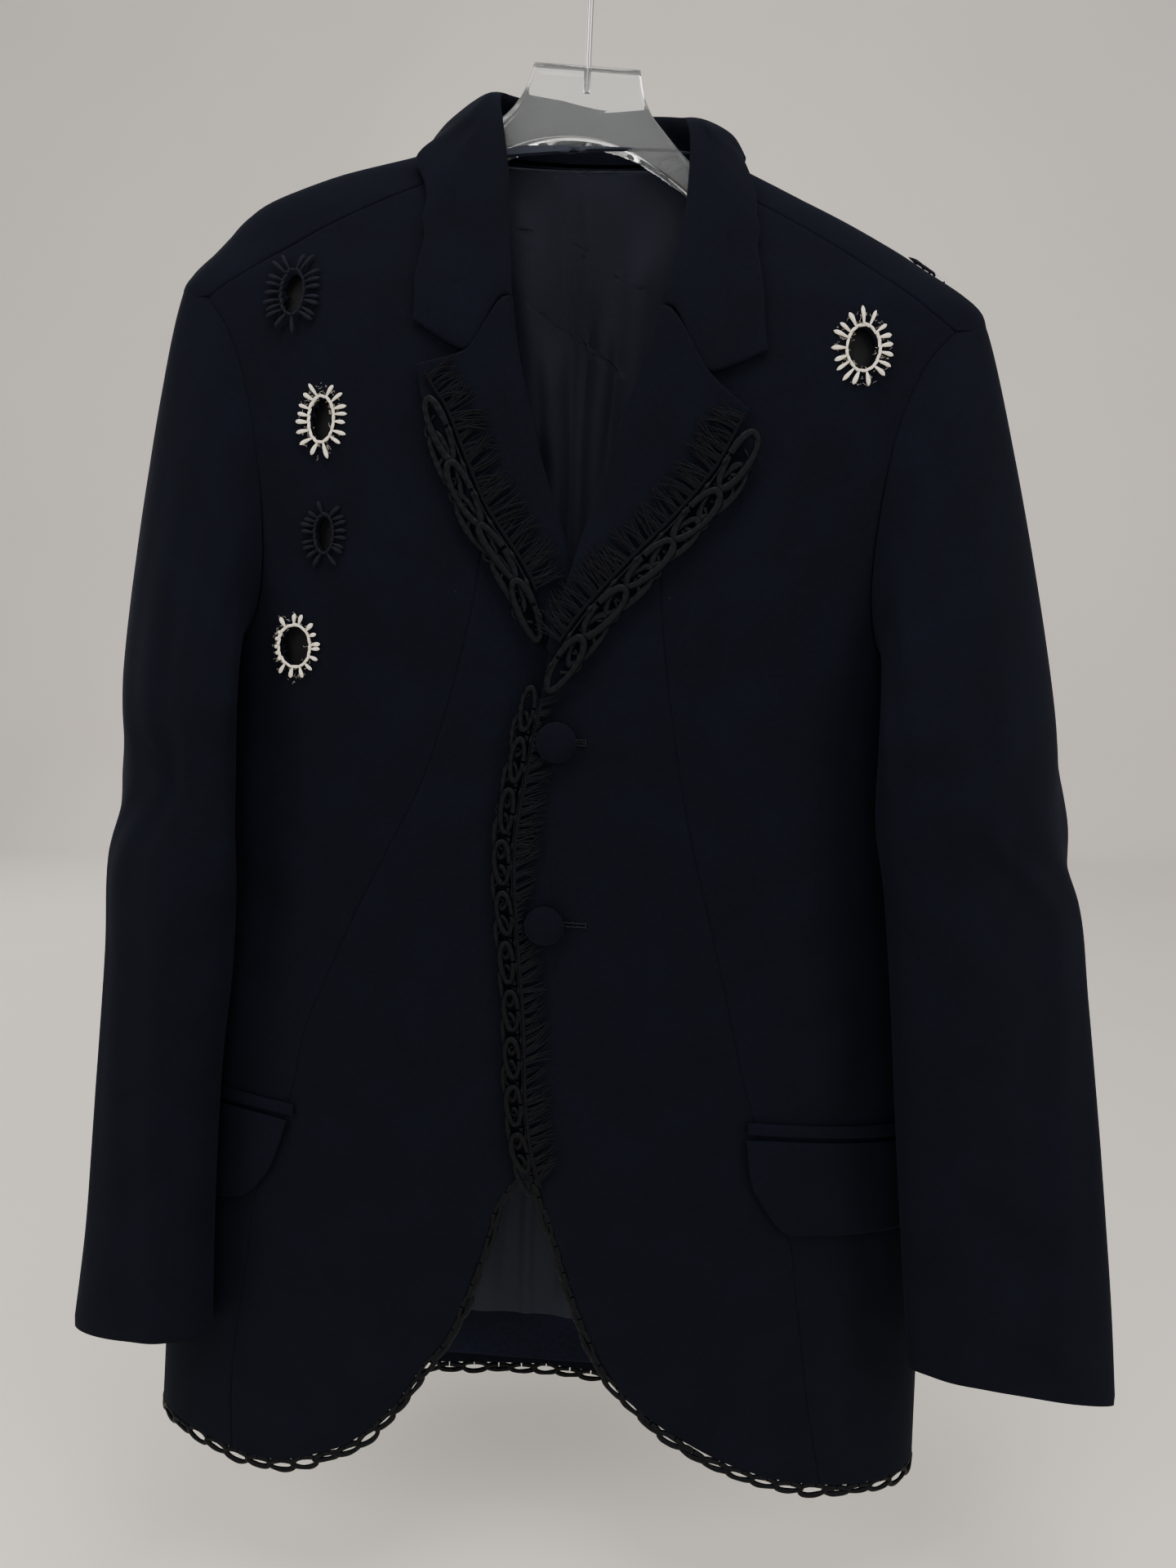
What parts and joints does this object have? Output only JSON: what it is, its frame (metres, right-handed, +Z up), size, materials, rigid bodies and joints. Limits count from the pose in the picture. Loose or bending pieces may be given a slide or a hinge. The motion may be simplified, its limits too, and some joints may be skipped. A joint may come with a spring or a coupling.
{
  "type": "blazer on hanger",
  "caption": "Single-breasted wool blazer with looped cord trim, fringe and worked eyelets, hung on a clear hanger with a wire hook.",
  "frame": {"origin": "inner top of the hook, where a rail carries it", "axes": "+Z up, the front of the garment faces -Y, +X to the right of a viewer who faces the front"},
  "size_m": [0.6477, 0.1645, 0.9769],
  "materials": {
    "wool": "fine navy-black wool twill",
    "lining": "dark satin lining",
    "cord": "satin black cord",
    "fringe": "frayed dark yarn",
    "cream_yarn": "thick cream wool yarn",
    "navy_yarn": "thick navy wool yarn",
    "acrylic": "clear polished acrylic",
    "steel": "bright bent wire"
  },
  "bodies": {
    "root": {"centre_front_left": "wool", "centre_front_right": "wool", "side_front_left": "wool", "side_front_right": "wool", "back_left": "wool", "back_right": "wool", "top_sleeve_left": "wool", "top_sleeve_right": "wool", "under_sleeve_left": "wool", "under_sleeve_right": "wool", "collar": "wool", "lapel_left": "wool", "lapel_right": "wool", "pocket_welt_left": "wool", "pocket_welt_right": "wool", "pocket_flap_left": "wool", "pocket_flap_right": "wool", "back_hem_facing": "wool", "button_upper": "wool", "button_lower": "wool", "back_lining": "lining", "front_lining_left": "lining", "front_lining_right": "lining", "lapel_trim_left": "cord", "lapel_trim_right": "cord", "front_trim": "cord", "hem_trim_left": "cord", "hem_trim_right": "cord", "hem_trim_back": "cord", "front_fringe": "fringe", "lapel_fringe_left": "fringe", "lapel_fringe_right": "fringe", "eyelet_left_1": "navy_yarn", "eyelet_left_2": "cream_yarn", "eyelet_left_3": "navy_yarn", "eyelet_left_4": "cream_yarn", "eyelet_right_1": "cream_yarn", "eyelet_right_2": "navy_yarn", "hanger_body": "acrylic", "hook": "steel"}
  },
  "joints": []
}
